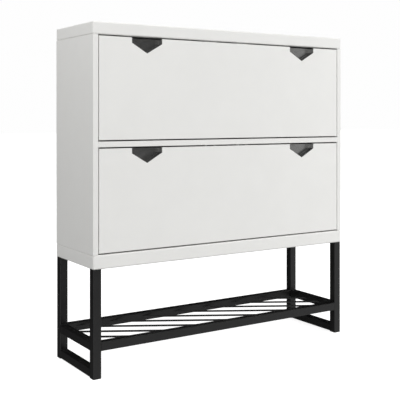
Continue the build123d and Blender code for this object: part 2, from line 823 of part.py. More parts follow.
    # Steel pins pressed into the ends of the flap.
    with BuildPart() as pivot_pins:
        for side in sides.values():
            with BuildSketch(Plane.YZ.offset(side * (flap_half - pin_in_flap))):
                with Locations((flap_middle, pivot_z)):
                    Circle(pin_radius)
            extrude(amount=side * (pin_in_flap + flap_side_gap + pin_in_bush))
        chamfer(pivot_pins.edges().filter_by(GeomType.CIRCLE), pin_radius / 8)
    pivot_pins.part.label = f"{bay}_pivot_pins"
    export_step(pivot_pins.part, f"parts/{bay}_pivot_pins.step")

    # Moulded fan brackets at the two ends of the bin.
    for side_name, side in sides.items():
        with BuildPart() as bracket:
            with BuildSketch(at_pivot(side * bracket_inner, floor)):
                fan_profile(0)
            extrude(amount=side * bracket_thickness)
            with BuildSketch(at_pivot(side * bracket_outer, floor)):
                fan_profile(0)
            extrude(amount=side * bracket_rim_height)
            with BuildSketch(at_pivot(side * bracket_outer, floor)):
                fan_profile(bracket_rim_width)
            extrude(amount=side * bracket_rim_height, mode=Mode.SUBTRACT)
            with BuildSketch(at_pivot(side * bracket_inner, floor)):
                pocket_rectangles(channel_wall, Mode.ADD)
                pocket_rectangles(0, Mode.SUBTRACT)
            extrude(amount=-side * channel_reach)
            with BuildSketch(at_pivot(side * bracket_inner, floor)):
                with Locations((u_flap, -bracket_below)):
                    Rectangle(
                        flange_thickness,
                        bracket_below + flange_top,
                        align=(Align.MIN, Align.MIN),
                    )
            extrude(amount=-side * flange_width)
            with BuildSketch(at_pivot(side * bracket_inner, floor)):
                SlotArc(slot_path, 2 * (stop_pin_radius + stop_play))
            extrude(amount=side * bracket_thickness, mode=Mode.SUBTRACT)
            for v in flange_hole_heights:
                mouth = (side * flange_hole_x, flap_rear, pivot_z + v)
                with Locations(drilled_from(*mouth, (0, -1, 0))):
                    Hole(radius=small_screw_radius + screw_play, depth=2 * flange_thickness)
        bracket.part.label = f"{bay}_bracket_{side_name}"
        export_step(bracket.part, f"parts/{bay}_bracket_{side_name}.step")

    with BuildPart() as bracket_screws:
        screw_places = [
            (side * flange_hole_x, pivot_z + v)
            for side in sides.values()
            for v in flange_hole_heights
        ]
        with BuildSketch(Plane.XZ.offset(-(flap_rear + flange_thickness))):
            with Locations(*screw_places):
                Circle(small_screw_radius)
        extrude(amount=flange_thickness + small_screw_bite - dowel_end_play)
        with BuildSketch(Plane.XZ.offset(-(flap_rear + flange_thickness))):
            with Locations(*screw_places):
                Circle(small_screw_head_radius)
        extrude(amount=-small_screw_head_height)
    bracket_screws.part.label = f"{bay}_bracket_screws"
    export_step(bracket_screws.part, f"parts/{bay}_bracket_screws.step")

    # Bin boards, which slide into the channels of the brackets.
    with BuildPart() as bin_floor:
        with BuildSketch(at_pivot(-shelf_half, floor)):
            with Locations((shelf_front, 0)):
                Rectangle(floor_rear - shelf_front, shelf_board, align=(Align.MIN, Align.MAX))
        extrude(amount=2 * shelf_half)
        fillet(bin_floor.edges().filter_by(Axis.X), shelf_edge_radius)
    bin_floor.part.label = f"{bay}_bin_floor"
    export_step(bin_floor.part, f"parts/{bay}_bin_floor.step")

    with BuildPart() as bin_shelf:
        with BuildSketch(at_pivot(-shelf_half, floor)):
            with Locations((shelf_front, shelf_top)):
                Rectangle(shelf_rear - shelf_front, shelf_board, align=(Align.MIN, Align.MAX))
        extrude(amount=2 * shelf_half)
        fillet(bin_shelf.edges().filter_by(Axis.X), shelf_edge_radius)
    bin_shelf.part.label = f"{bay}_bin_shelf"
    export_step(bin_shelf.part, f"parts/{bay}_bin_shelf.step")

    with BuildPart() as bin_lips:
        with BuildSketch(at_pivot(-shelf_half, floor)):
            with Locations((floor_rear, 0)):
                Rectangle(shelf_board, lower_lip_height, align=(Align.MAX, Align.MIN))
            with Locations((shelf_rear, shelf_top)):
                Rectangle(shelf_board, upper_lip_height, align=(Align.MAX, Align.MIN))
        extrude(amount=2 * shelf_half)
        fillet(bin_lips.edges().filter_by(Axis.X), shelf_edge_radius)
    bin_lips.part.label = f"{bay}_bin_lips"
    export_step(bin_lips.part, f"parts/{bay}_bin_lips.step")


# ---- stand -------------------------------------------------------------------------------
def tube_profile(plane, centre):
    """Hollow square tube section on a plane."""
    with BuildSketch(plane) as section:
        with Locations(centre):
            RectangleRounded(tube, tube, tube_corner)
            RectangleRounded(
                tube - 2 * tube_wall,
                tube - 2 * tube_wall,
                tube_corner - tube_wall,
                mode=Mode.SUBTRACT,
            )
    return section.sketch


for end_name, end in ends.items():
    for side_name, side in sides.items():
        with BuildPart() as leg:
            section = tube_profile(Plane.XY.offset(foot_pad), (side * leg_x, end * leg_y))
            extrude(section, amount=stand_height - foot_pad)
        leg.part.label = f"leg_{end_name}_{side_name}"
        export_step(leg.part, f"parts/leg_{end_name}_{side_name}.step")

for side_name, side in sides.items():
    with BuildPart() as foot_bar:
        section = tube_profile(Plane.XZ.offset(leg_inner_y), (side * leg_x, foot_pad + tube / 2))
        extrude(section, amount=-2 * leg_inner_y)
    foot_bar.part.label = f"foot_bar_{side_name}"
    export_step(foot_bar.part, f"parts/foot_bar_{side_name}.step")

    with BuildPart() as rack_side_rail:
        section = tube_profile(Plane.XZ.offset(leg_inner_y), (side * leg_x, rack_height))
        extrude(section, amount=-2 * leg_inner_y)
    rack_side_rail.part.label = f"rack_side_rail_{side_name}"
    export_step(rack_side_rail.part, f"parts/rack_side_rail_{side_name}.step")

    # Flat strap between the leg tops, which the cabinet is screwed to.
    with BuildPart() as mount_strap:
        with BuildSketch(Plane.XY.offset(strap_bottom)):
            with Locations((side * strap_x, 0)):
                Rectangle(strap_width, 2 * leg_inner_y)
        extrude(amount=strap_thickness)
        for y in (-strap_screw_spacing / 2, 0, strap_screw_spacing / 2):
            with Locations(drilled_from(side * strap_x, y, strap_bottom, (0, 0, -1))):
                Hole(radius=fixing_screw_radius + screw_play, depth=2 * strap_thickness)
    mount_strap.part.label = f"mount_strap_{side_name}"
    export_step(mount_strap.part, f"parts/mount_strap_{side_name}.step")

for end_name, end in ends.items():
    with BuildPart() as rack_rail:
        section = tube_profile(Plane.YZ.offset(-leg_inner_x), (end * leg_y, rack_height))
        extrude(section, amount=2 * leg_inner_x)
    rack_rail.part.label = f"rack_rail_{end_name}"
    export_step(rack_rail.part, f"parts/rack_rail_{end_name}.step")

strap_screw_places = [
    (side * strap_x, y)
    for side in sides.values()
    for y in (-strap_screw_spacing / 2, 0, strap_screw_spacing / 2)
]
with BuildPart() as frame_screws:
    with BuildSketch(Plane.XY.offset(strap_bottom)):
        with Locations(*strap_screw_places):
            Circle(fixing_screw_radius)
    extrude(amount=fixing_screw_length)
    with BuildSketch(Plane.XY.offset(strap_bottom)):
        with Locations(*strap_screw_places):
            Circle(fixing_screw_head_radius)
    extrude(amount=-fixing_screw_head_height)
frame_screws.part.label = "frame_screws"
export_step(frame_screws.part, "parts/frame_screws.step")

with BuildPart() as foot_plugs:
    leg_places = [(side * leg_x, end * leg_y) for side in sides.values() for end in ends.values()]
    plug_size = tube - 2 * (tube_wall + foot_plug_play)
    with BuildSketch():
        with Locations(*leg_places):
            RectangleRounded(tube, tube, tube_corner)
    extrude(amount=foot_pad)
    with BuildSketch(Plane.XY.offset(foot_pad)):
        with Locations(*leg_places):
            RectangleRounded(plug_size, plug_size, tube_corner - tube_wall)
            Rectangle(
                plug_size - 2 * foot_plug_wall,
                plug_size - 2 * foot_plug_wall,
                mode=Mode.SUBTRACT,
            )
    extrude(amount=foot_plug_length)
foot_plugs.part.label = "foot_plugs"
export_step(foot_plugs.part, "parts/foot_plugs.step")

# Wires of the rack: parallel rods that slant across it and end on the inner faces of its rails.
wire_reach = leg_inner_y / sin(radians(wire_angle))
wire_count = ceil((leg_inner_x + leg_inner_y / tan(radians(wire_angle))) / wire_pitch) + 1
with BuildPart() as rack_wires:
    for index in range(-wire_count, wire_count + 1):
        middle_x = wire_shift + index * wire_pitch
        across = cos(radians(wire_angle))
        start = max(-wire_reach, (-leg_inner_x - middle_x) / across)
        stop = min(wire_reach, (leg_inner_x - middle_x) / across)
        if stop - start < shortest_wire:
            continue
        run = (across, -sin(radians(wire_angle)), 0)
        with BuildSketch(Plane(origin=(middle_x, 0, rack_height), z_dir=run)):
            Circle(wire_radius)
        extrude(amount=wire_reach + wire_pitch, both=True)
    with BuildSketch(Plane.XY.offset(rack_height - tube / 2)):
        Rectangle(2 * leg_inner_x, 2 * leg_inner_y)
    extrude(amount=tube, mode=Mode.INTERSECT)
rack_wires.part.label = "rack_wires"
export_step(rack_wires.part, "parts/rack_wires.step")
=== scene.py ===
import json
import logging
import math
from dataclasses import dataclass, field
from enum import Enum
from typing import Callable, ClassVar, Sequence

import bmesh
import bpy
from mathutils import Matrix, Vector


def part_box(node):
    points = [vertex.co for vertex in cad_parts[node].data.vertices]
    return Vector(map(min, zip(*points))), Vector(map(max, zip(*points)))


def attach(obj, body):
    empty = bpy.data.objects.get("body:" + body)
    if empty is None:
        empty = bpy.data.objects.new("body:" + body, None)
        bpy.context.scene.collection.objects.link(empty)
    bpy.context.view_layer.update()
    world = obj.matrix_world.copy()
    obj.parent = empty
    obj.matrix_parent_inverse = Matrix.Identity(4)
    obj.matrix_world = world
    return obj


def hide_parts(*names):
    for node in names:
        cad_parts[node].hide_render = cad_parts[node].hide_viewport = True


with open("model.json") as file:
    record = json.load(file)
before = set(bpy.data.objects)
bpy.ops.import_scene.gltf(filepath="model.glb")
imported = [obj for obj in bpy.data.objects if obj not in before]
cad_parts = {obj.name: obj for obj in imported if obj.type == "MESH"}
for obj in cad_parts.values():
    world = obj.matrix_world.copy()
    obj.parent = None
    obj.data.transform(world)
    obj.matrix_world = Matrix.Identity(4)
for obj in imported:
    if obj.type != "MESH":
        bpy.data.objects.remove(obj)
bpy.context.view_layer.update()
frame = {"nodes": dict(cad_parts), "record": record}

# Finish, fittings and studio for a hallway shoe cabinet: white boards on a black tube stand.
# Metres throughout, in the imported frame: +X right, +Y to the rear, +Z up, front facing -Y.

log = logging.getLogger("shoe_cabinet")

Colour = tuple[float, float, float]
Place = tuple[float, float, float]
Span = tuple[Vector, Vector]
Ends = tuple[float, float]
Fade = tuple[float, float, float, float]

MM = 0.001
RIGHTWARD: Place = (1, 0, 0)
REARWARD: Place = (0, 1, 0)
DOWNWARD: Place = (0, 0, -1)
SORT_DECIMALS = 5       # corners that agree to this many decimals of a metre sort as equal
DOUBLES = 0.001 * MM    # points nearer than this are one point
NEAR = 0.1 * MM         # places nearer than this are picked as the same place
SQUARE_ON = 0.9         # least part along an axis of a direction that is picked as along it

# Stretches of a texture's or a normal's values that are spread over a whole range.
PATCH_NOISE = (0.35, 0.65)
SHEEN_NOISE = (0.3, 0.7)
FLECK_NOISE = (0.32, 0.68)
SHADE_NOISE = (0.3, 0.75)
SPECK_REACH = (0.0, 0.35)
FLAT_TO_EDGE = (0.98, 0.78)
REAR_FACING = (0.4, 0.6)
# Least and most of the painted edge highlight along an edge.
UNEVEN_HIGHLIGHT = (0.35, 1.0)


class Bay(Enum):
    """The two flap openings of the cabinet."""

    LOWER = "lower"
    UPPER = "upper"


class Side(Enum):
    """Left and right, as seen from the front."""

    LEFT = "left"
    RIGHT = "right"


class Pick(Enum):
    """What an edit-mode selection is made of."""

    POINTS = "VERT"
    EDGES = "EDGE"
    FACES = "FACE"


# ---- bench: shaping meshes with the edit-mode operators ------------------------------------


def clear_bench() -> None:
    """Leave edit mode and deselect every object."""
    if bpy.context.object is not None and bpy.context.object.mode != "OBJECT":
        bpy.ops.object.mode_set(mode="OBJECT")
    bpy.ops.object.select_all(action="DESELECT")


class Workpiece:
    """One mesh object on the bench."""

    def __init__(self, body: bpy.types.Object) -> None:
        """Take an object whose place, turn and size are already in its mesh."""
        self.body = body

    @classmethod
    def block(cls, low: Vector, high: Vector) -> "Workpiece":
        """Start from a block between two corners.

        Args:
            low: Lowest corner.
            high: Highest corner.

        Returns:
            The block as a workpiece.
        """
        clear_bench()
        bpy.ops.mesh.primitive_cube_add(size=1.0, location=(low + high) / 2)
        bpy.context.object.scale = high - low
        return cls._settled()

    @classmethod
    def rod(cls, radius: float, start: float, length: float, sides: int) -> "Workpiece":
        """Start from an upright rod on the Z axis.

        Args:
            radius: Radius of the rod.
            start: Height of its lower end.
            length: Its length.
            sides: Number of flat sides.

        Returns:
            The rod as a workpiece.
        """
        clear_bench()
        bpy.ops.mesh.primitive_cylinder_add(
            vertices=sides, radius=radius, depth=length, location=(0, 0, start + length / 2)
        )
        return cls._settled()

    @classmethod
    def ring(cls, radius: float, thickness: float, sides: int,
             section_sides: int = 8) -> "Workpiece":
        """Start from a round ring about the Z axis.

        Args:
            radius: Radius of the ring's middle line.
            thickness: Radius of its section.
            sides: Number of flat sides round the ring.
            section_sides: Number of flat sides round its section.

        Returns:
            The ring as a workpiece.
        """
        clear_bench()
        bpy.ops.mesh.primitive_torus_add(
            major_radius=radius,
            minor_radius=thickness,
            major_segments=sides,
            minor_segments=section_sides,
        )
        return cls._settled()

    @classmethod
    def _settled(cls) -> "Workpiece":
        """Put the new object's place and size into its mesh."""
        bpy.ops.object.transform_apply(location=True, rotation=True, scale=True)
        return cls(bpy.context.object)

    def open(self) -> None:
        """Go into edit mode with this piece alone."""
        clear_bench()
        self.body.select_set(True)
        bpy.context.view_layer.objects.active = self.body
        bpy.ops.object.mode_set(mode="EDIT")

    def pick(self, kind: Pick, test: Callable[[Vector, Vector], bool]) -> None:
        """Select by place and direction.

        Args:
            kind: Points, edges or faces.
            test: Takes the middle of the element, and its normal or, for an edge, its run.
        """
        bpy.ops.mesh.select_mode(type=kind.value)
        bpy.ops.mesh.select_all(action="DESELECT")
        shape = bmesh.from_edit_mesh(self.body.data)
        shape.normal_update()
        if kind is Pick.FACES:
            found = [(face, face.calc_center_median(), face.normal) for face in shape.faces]
        elif kind is Pick.EDGES:
            found = [
                (edge, (edge.verts[0].co + edge.verts[1].co) / 2,
                 (edge.verts[1].co - edge.verts[0].co).normalized())
                for edge in shape.edges
            ]
        else:
            found = [(point, point.co, point.normal) for point in shape.verts]
        for element, middle, direction in found:
            if test(middle, direction):
                element.select_set(True)
        bmesh.update_edit_mesh(self.body.data)

    def close(self) -> None:
        """Go back to object mode."""
        bpy.ops.object.mode_set(mode="OBJECT")

    def modify(self, kind: str, **settings: object) -> None:
        """Add one modifier with its settings and apply it."""
        clear_bench()
        self.body.select_set(True)
        bpy.context.view_layer.objects.active = self.body
        modifier = self.body.modifiers.new(kind.lower(), kind)
        for name, value in settings.items():
            setattr(modifier, name, value)
        bpy.ops.object.modifier_apply(modifier=modifier.name)

    def cut(self, *cutters: "Workpiece") -> None:
        """Cut the shapes of other workpieces out of this one, and throw those away."""
        for cutter in cutters:
            self.modify("BOOLEAN", operation="DIFFERENCE", object=cutter.body, solver="EXACT")
            bpy.data.objects.remove(cutter.body)

    def soften(self, width: float, segments: int = 2, angle: float = 40.0) -> None:
        """Round the edges that are sharper than `angle` degrees by a small bevel."""
        self.modify(
            "BEVEL",
            width=width,
            segments=segments,
            limit_method="ANGLE",
            angle_limit=math.radians(angle),
        )

    def copy(self, move: Matrix) -> "Workpiece":
        """Another one of these with its own mesh, moved by a matrix."""
        twin = self.body.copy()
        twin.data = self.body.data.copy()
        twin.data.transform(move)
        bpy.context.scene.collection.objects.link(twin)
        return Workpiece(twin)

    def join(self, others: Sequence["Workpiece"]) -> None:
        """Make this piece and others one mesh."""
        clear_bench()
        for other in others:
            other.body.select_set(True)
        self.body.select_set(True)
        bpy.context.view_layer.objects.active = self.body
        bpy.ops.object.join()

    def discard(self) -> None:
        """Throw the piece away."""
        bpy.data.objects.remove(self.body)

    def tidy(self, smooth_angle: float) -> None:
        """Merge doubles, turn the normals outwards and smooth below an angle in degrees."""
        self.open()
        bpy.ops.mesh.select_all(action="SELECT")
        bpy.ops.mesh.remove_doubles(threshold=DOUBLES)
        bpy.ops.mesh.normals_make_consistent(inside=False)
        self.close()
        bpy.ops.object.shade_smooth_by_angle(angle=math.radians(smooth_angle))


def solids_of(node: str) -> list[Span]:
    """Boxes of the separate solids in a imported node.

    Args:
        node: Name of the node.

    Returns:
        The lowest and highest corner of each solid, left to right.
    """
    shape = bmesh.new()
    shape.from_mesh(frame["nodes"][node].data)
    bmesh.ops.remove_doubles(shape, verts=shape.verts, dist=DOUBLES)
    waiting = set(shape.verts)
    spans: list[Span] = []
    while waiting:
        seed = waiting.pop()
        solid, frontier = [seed], [seed]
        while frontier:
            for edge in frontier.pop().link_edges:
                for point in edge.verts:
                    if point in waiting:
                        waiting.remove(point)
                        solid.append(point)
                        frontier.append(point)
        low = Vector([min(point.co[axis] for point in solid) for axis in range(3)])
        high = Vector([max(point.co[axis] for point in solid) for axis in range(3)])
        spans.append((low, high))
    shape.free()
    return sorted(spans, key=lambda span: tuple(round(value, SORT_DECIMALS) for value in span[0]))


def facing(outward: Vector, place: Vector) -> Matrix:
    """Matrix that stands a shape's +Z along a direction at a place."""
    return Matrix.Translation(place) @ outward.to_track_quat("Z", "Y").to_matrix().to_4x4()


# ---- shader sheets -----------------------------------------------------------------------------


class Sheet:
    """A node tree with short calls for placing and wiring nodes.

    The numbers are those of the Mix node's sockets: its two values, its two colours, and the
    colour that it gives.
    """

    MIX_VALUES: ClassVar[tuple[int, int]] = (2, 3)
    MIX_COLOURS: ClassVar[tuple[int, int]] = (6, 7)
    MIXED_COLOUR: ClassVar[int] = 2

    def __init__(self, tree: bpy.types.NodeTree) -> None:
        """Clear the tree and keep it."""
        self.tree = tree
        tree.nodes.clear()

    def put(self, kind: str, inputs: dict[str | int, object] | None = None,
            **settings: object) -> bpy.types.Node:
        """Place one node.

        Args:
            kind: The node's type name.
            inputs: Values or sockets for its inputs, by name or number.
            settings: Its own settings.

        Returns:
            The node.
        """
        node = self.tree.nodes.new(kind)
        for name, value in settings.items():
            setattr(node, name, value)
        for name, value in (inputs or {}).items():
            if isinstance(value, bpy.types.NodeSocket):
                self.tree.links.new(value, node.inputs[name])
            else:
                node.inputs[name].default_value = value
        return node

    def sum_up(self, operation: str, first: object, second: object) -> bpy.types.NodeSocket:
        """Result of one arithmetic step."""
        node = self.put("ShaderNodeMath", {0: first, 1: second}, operation=operation)
        return node.outputs[0]

    def span(self, value: object, low: float, high: float, to_low: float,
             to_high: float) -> bpy.types.NodeSocket:
        """Value mapped and clamped from one range to another."""
        node = self.put("ShaderNodeMapRange", {0: value, 1: low, 2: high, 3: to_low, 4: to_high})
        return node.outputs[0]

    def mix(self, share: object, first: object, second: object) -> bpy.types.NodeSocket:
        """Value between two values by a share."""
        low, high = self.MIX_VALUES
        return self.put("ShaderNodeMix", {0: share, low: first, high: second}).outputs[0]

    def blend(self, share: object, first: Colour | object,
              second: Colour | object) -> bpy.types.NodeSocket:
        """Colour between two colours by a share."""
        node = self.put("ShaderNodeMix", {0: share}, data_type="RGBA")
        for number, colour in zip(self.MIX_COLOURS, (first, second)):
            if isinstance(colour, bpy.types.NodeSocket):
                self.tree.links.new(colour, node.inputs[number])
            else:
                node.inputs[number].default_value = (*colour, 1.0)
        return node.outputs[self.MIXED_COLOUR]


def shared_effect(name: str, inputs: dict[str, str], outputs: Sequence[str]) -> tuple[
        Sheet, bpy.types.Node, bpy.types.Node]:
    """Open a new node group for an effect that several finishes use.

    Args:
        name: Name of the group.
        inputs: Socket types by input name.
        outputs: Names of its outputs, all plain values.

    Returns:
        The group's sheet, its input node and its output node.
    """
    tree = bpy.data.node_groups.new(name, "ShaderNodeTree")
    for label, kind in inputs.items():
        tree.interface.new_socket(label, in_out="INPUT", socket_type=kind)
    for label in outputs:
        tree.interface.new_socket(label, in_out="OUTPUT", socket_type="NodeSocketFloat")
    sheet = Sheet(tree)
    return sheet, sheet.put("NodeGroupInput"), sheet.put("NodeGroupOutput")


def make_grain_effect() -> bpy.types.NodeTree:
    """Fine surface grain with slow patches.

    Returns:
        A group that takes a place, a grain size and a patch size in metres, and gives the
        grain's height, the patches and a scatter of small specks.
    """
    sheet, given, result = shared_effect(
        "fine grain",
        {"Place": "NodeSocketVector", "Grain": "NodeSocketFloat", "Patch": "NodeSocketFloat"},
        ("Height", "Patches", "Specks"),
    )
    fineness = sheet.sum_up("DIVIDE", 1.0, given.outputs["Grain"])
    spread = sheet.sum_up("DIVIDE", 1.0, given.outputs["Patch"])
    grain = sheet.put("ShaderNodeTexNoise", {"Vector": given.outputs["Place"],
                      "Scale": fineness, "Detail": 3.0, "Roughness": 0.55})
    patches = sheet.put("ShaderNodeTexNoise", {"Vector": given.outputs["Place"],
                        "Scale": spread, "Detail": 2.0, "Roughness": 0.5})
    specks = sheet.put("ShaderNodeTexVoronoi", {"Vector": given.outputs["Place"],
                       "Scale": fineness}, feature="F1")
    links = sheet.tree.links
    links.new(grain.outputs[0], result.inputs["Height"])
    links.new(patches.outputs[0], result.inputs["Patches"])
    links.new(sheet.span(specks.outputs["Distance"], *SPECK_REACH, 1.0, 0.0),
              result.inputs["Specks"])
    return sheet.tree


def make_edge_highlight_effect() -> bpy.types.NodeTree:
    """Mask of the outer edges, broken up by noise, for a highlight painted on them.

    Returns:
        A group that takes a place, the reach of the painted highlight in metres and its
        strength, and gives a mask that is 1 on edges that are painted lighter.
    """
    sheet, given, result = shared_effect(
        "painted edge highlight",
        {"Place": "NodeSocketVector", "Reach": "NodeSocketFloat",
         "Strength": "NodeSocketFloat"},
        ("Mask",),
    )
    rounded = sheet.put("ShaderNodeBevel", {"Radius": given.outputs["Reach"]}, samples=4)
    flat = sheet.put("ShaderNodeNewGeometry")
    alike = sheet.put("ShaderNodeVectorMath", {0: rounded.outputs[0],
                      1: flat.outputs["Normal"]}, operation="DOT_PRODUCT")
    edge = sheet.span(alike.outputs["Value"], *FLAT_TO_EDGE, 0.0, 1.0)
    breakup = sheet.put("ShaderNodeTexNoise", {"Vector": given.outputs["Place"],
                        "Scale": 60.0, "Detail": 4.0, "Roughness": 0.6})
    uneven = sheet.span(breakup.outputs[0], *PATCH_NOISE, *UNEVEN_HIGHLIGHT)
    mask = sheet.sum_up("MULTIPLY", sheet.sum_up("MULTIPLY", edge, uneven),
                        given.outputs["Strength"])
    sheet.tree.links.new(mask, result.inputs["Mask"])
    return sheet.tree


def make_brush_effect() -> bpy.types.NodeTree:
    """Long fine scratches along one direction.

    Returns:
        A group that takes a place and a stretch, and gives the scratches' height.
    """
    sheet, given, result = shared_effect(
        "brushed lines",
        {"Place": "NodeSocketVector", "Stretch": "NodeSocketVector"},
        ("Height",),
    )
    drawn = sheet.put("ShaderNodeVectorMath", {0: given.outputs["Place"],
                      1: given.outputs["Stretch"]}, operation="MULTIPLY")
    lines = sheet.put("ShaderNodeTexNoise", {"Vector": drawn.outputs[0], "Scale": 900.0,
                      "Detail": 2.0, "Roughness": 0.6})
    sheet.tree.links.new(lines.outputs[0], result.inputs["Height"])
    return sheet.tree


class Effects:
    """The shared effects, each made when it is first asked for."""

    _makers: ClassVar[dict[str, Callable[[], bpy.types.NodeTree]]] = {
        "grain": make_grain_effect,
        "edge": make_edge_highlight_effect,
        "brush": make_brush_effect,
    }
    _made: ClassVar[dict[str, bpy.types.NodeTree]] = {}

    @classmethod
    def place(cls, sheet: Sheet, name: str, inputs: dict[str, object]) -> bpy.types.Node:
        """Place a shared effect in a material with its own values."""
        if name not in cls._made:
            cls._made[name] = cls._makers[name]()
        return sheet.put("ShaderNodeGroup", inputs, node_tree=cls._made[name])


# ---- finishes ----------------------------------------------------------------------------------


@dataclass(frozen=True)
class Finish:
    """A plain finish: two close tones, a fine grain, a shine and a highlight painted on its edges.

    Sizes are in millimetres. `swing` is how far the roughness strays from its middle.
    """

    label: str
    tone: Colour
    second_tone: Colour
    roughness: float
    grain: float = 0.8
    patch: float = 60.0
    depth: float = 0.02
    swing: float = 0.06
    metallic: float = 0.0
    specular: float = 0.5
    # The three edge fields paint a highlight: the outer edges are painted a lighter tone, over a
    # reach in millimetres, by a strength.
    edge_highlight_reach: float = 0.0
    edge_highlight_tone: Colour = (0.0, 0.0, 0.0)
    edge_highlight_strength: float = 0.0

    def material(self) -> bpy.types.Material:
        """The finish as a material, made once."""
        ready = bpy.data.materials.get(self.label)
        if ready is not None:
            return ready
        paint = bpy.data.materials.new(self.label)
        paint.use_nodes = True
        paint.diffuse_color = (*self.tone, 1.0)
        sheet = Sheet(paint.node_tree)
        place = sheet.put("ShaderNodeTexCoord").outputs["Object"]
        grain = Effects.place(sheet, "grain", {"Place": place, "Grain": self.grain * MM,
                                               "Patch": self.patch * MM})
        colour = self.colour(sheet, place, grain)
        roughness = sheet.span(self.sheen(sheet, place, grain), *SHEEN_NOISE,
                               self.roughness - self.swing, self.roughness + self.swing)
        # Painted highlight: the outer edges are blended toward a lighter tone where the mask is
        # on.
        if self.edge_highlight_strength > 0:
            highlit_edges = Effects.place(sheet, "edge", {"Place": place, "Reach": self.edge_highlight_reach * MM,
                                                 "Strength": self.edge_highlight_strength})
            colour = sheet.blend(highlit_edges.outputs["Mask"], colour, self.edge_highlight_tone)
        bump = sheet.put("ShaderNodeBump", {"Height": self.relief(sheet, place, grain),
                         "Distance": self.depth * MM, "Strength": 1.0})
        shader = sheet.put("ShaderNodeBsdfPrincipled", {
            "Base Color": colour,
            "Roughness": roughness,
            "Metallic": self.metallic,
            "Specular IOR Level": self.specular,
            "Normal": bump.outputs[0],
        })
        sheet.put("ShaderNodeOutputMaterial", {"Surface": shader.outputs[0]})
        return paint

    def colour(self, sheet: Sheet, place: bpy.types.NodeSocket,
               grain: bpy.types.Node) -> bpy.types.NodeSocket:
        """Colour over the surface: the two tones in slow patches."""
        share = sheet.span(grain.outputs["Patches"], *PATCH_NOISE, 0.0, 1.0)
        return sheet.blend(share, self.tone, self.second_tone)

    def sheen(self, sheet: Sheet, place: bpy.types.NodeSocket,
              grain: bpy.types.Node) -> bpy.types.NodeSocket:
        """What the roughness follows."""
        return grain.outputs["Patches"]

    def relief(self, sheet: Sheet, place: bpy.types.NodeSocket,
               grain: bpy.types.Node) -> bpy.types.NodeSocket:
        """What the surface's fine height follows."""
        return grain.outputs["Height"]


@dataclass(frozen=True)
class SpeckledFinish(Finish):
    """Powder coat: rounded pimples that catch the light a little."""

    def relief(self, sheet: Sheet, place: bpy.types.NodeSocket,
               grain: bpy.types.Node) -> bpy.types.NodeSocket:
        """Pimples over the fine grain."""
        return sheet.sum_up("ADD", grain.outputs["Specks"], grain.outputs["Height"])


@dataclass(frozen=True)
class BrushedFinish(Finish):
    """Metal with fine lines drawn along one direction."""

    stretch: Place = (0.03, 1.0, 1.0)

    def sheen(self, sheet: Sheet, place: bpy.types.NodeSocket,
              grain: bpy.types.Node) -> bpy.types.NodeSocket:
        """Roughness that follows the drawn lines."""
        lines = Effects.place(sheet, "brush", {"Place": place, "Stretch": self.stretch})
        return lines.outputs["Height"]

    def relief(self, sheet: Sheet, place: bpy.types.NodeSocket,
               grain: bpy.types.Node) -> bpy.types.NodeSocket:
        """Height that follows the drawn lines."""
        lines = Effects.place(sheet, "brush", {"Place": place, "Stretch": self.stretch})
        return lines.outputs["Height"]


@dataclass(frozen=True)
class HardboardFinish(Finish):
    """Hardboard: raw fibres with a screen print on the rear, white lacquer on the front.

    `screen` is the pitch of the print in millimetres, `shade` the darker tone's share of the
    brown, and `shade_share` the most that it counts for.
    """

    lacquer: Colour = (0.80, 0.80, 0.79)
    screen: float = 1.6
    shade: float = 0.72
    shade_share: float = 0.5

    def rear_share(self, sheet: Sheet) -> bpy.types.NodeSocket:
        """1 on faces that look to the rear, 0 elsewhere."""
        facing_out = sheet.put("ShaderNodeNewGeometry").outputs["True Normal"]
        parts = sheet.put("ShaderNodeSeparateXYZ", {0: facing_out})
        return sheet.span(parts.outputs["Y"], *REAR_FACING, 0.0, 1.0)

    def colour(self, sheet: Sheet, place: bpy.types.NodeSocket,
               grain: bpy.types.Node) -> bpy.types.NodeSocket:
        """Mottled brown fibres behind, lacquer in front."""
        fibres = sheet.put("ShaderNodeTexNoise", {"Vector": place, "Scale": 420.0,
                           "Detail": 6.0, "Roughness": 0.7, "Distortion": 1.5})
        flecks = sheet.span(fibres.outputs[0], *FLECK_NOISE, 0.0, 1.0)
        brown = sheet.blend(flecks, self.tone, self.second_tone)
        dark = tuple(channel * self.shade for channel in self.tone)
        slow = sheet.span(grain.outputs["Patches"], *SHADE_NOISE, 0.0, self.shade_share)
        mottled = sheet.blend(slow, brown, dark)
        return sheet.blend(self.rear_share(sheet), self.lacquer, mottled)

    def relief(self, sheet: Sheet, place: bpy.types.NodeSocket,
               grain: bpy.types.Node) -> bpy.types.NodeSocket:
        """Print of the pressing screen on the rear, fine grain on the front."""
        wave = 2 * math.pi / (self.screen * MM)
        parts = sheet.put("ShaderNodeSeparateXYZ", {0: place})
        along = sheet.sum_up("SINE", sheet.sum_up("MULTIPLY", parts.outputs["X"], wave), 0.0)
        up = sheet.sum_up("SINE", sheet.sum_up("MULTIPLY", parts.outputs["Z"], wave), 0.0)
        mesh = sheet.sum_up("MULTIPLY", along, up)
        printed = sheet.sum_up("MULTIPLY", mesh, self.rear_share(sheet))
        return sheet.sum_up("ADD", printed, grain.outputs["Height"])


@dataclass(frozen=True)
class TurnedWoodFinish(Finish):
    """Plain wood with growth lines along the piece."""

    stretch: Place = (1.0, 1.0, 0.08)

    def colour(self, sheet: Sheet, place: bpy.types.NodeSocket,
               grain: bpy.types.Node) -> bpy.types.NodeSocket:
        """Growth lines between the two tones."""
        lines = Effects.place(sheet, "brush", {"Place": place, "Stretch": self.stretch})
        share = sheet.span(lines.outputs["Height"], *PATCH_NOISE, 0.0, 1.0)
        return sheet.blend(share, self.tone, self.second_tone)
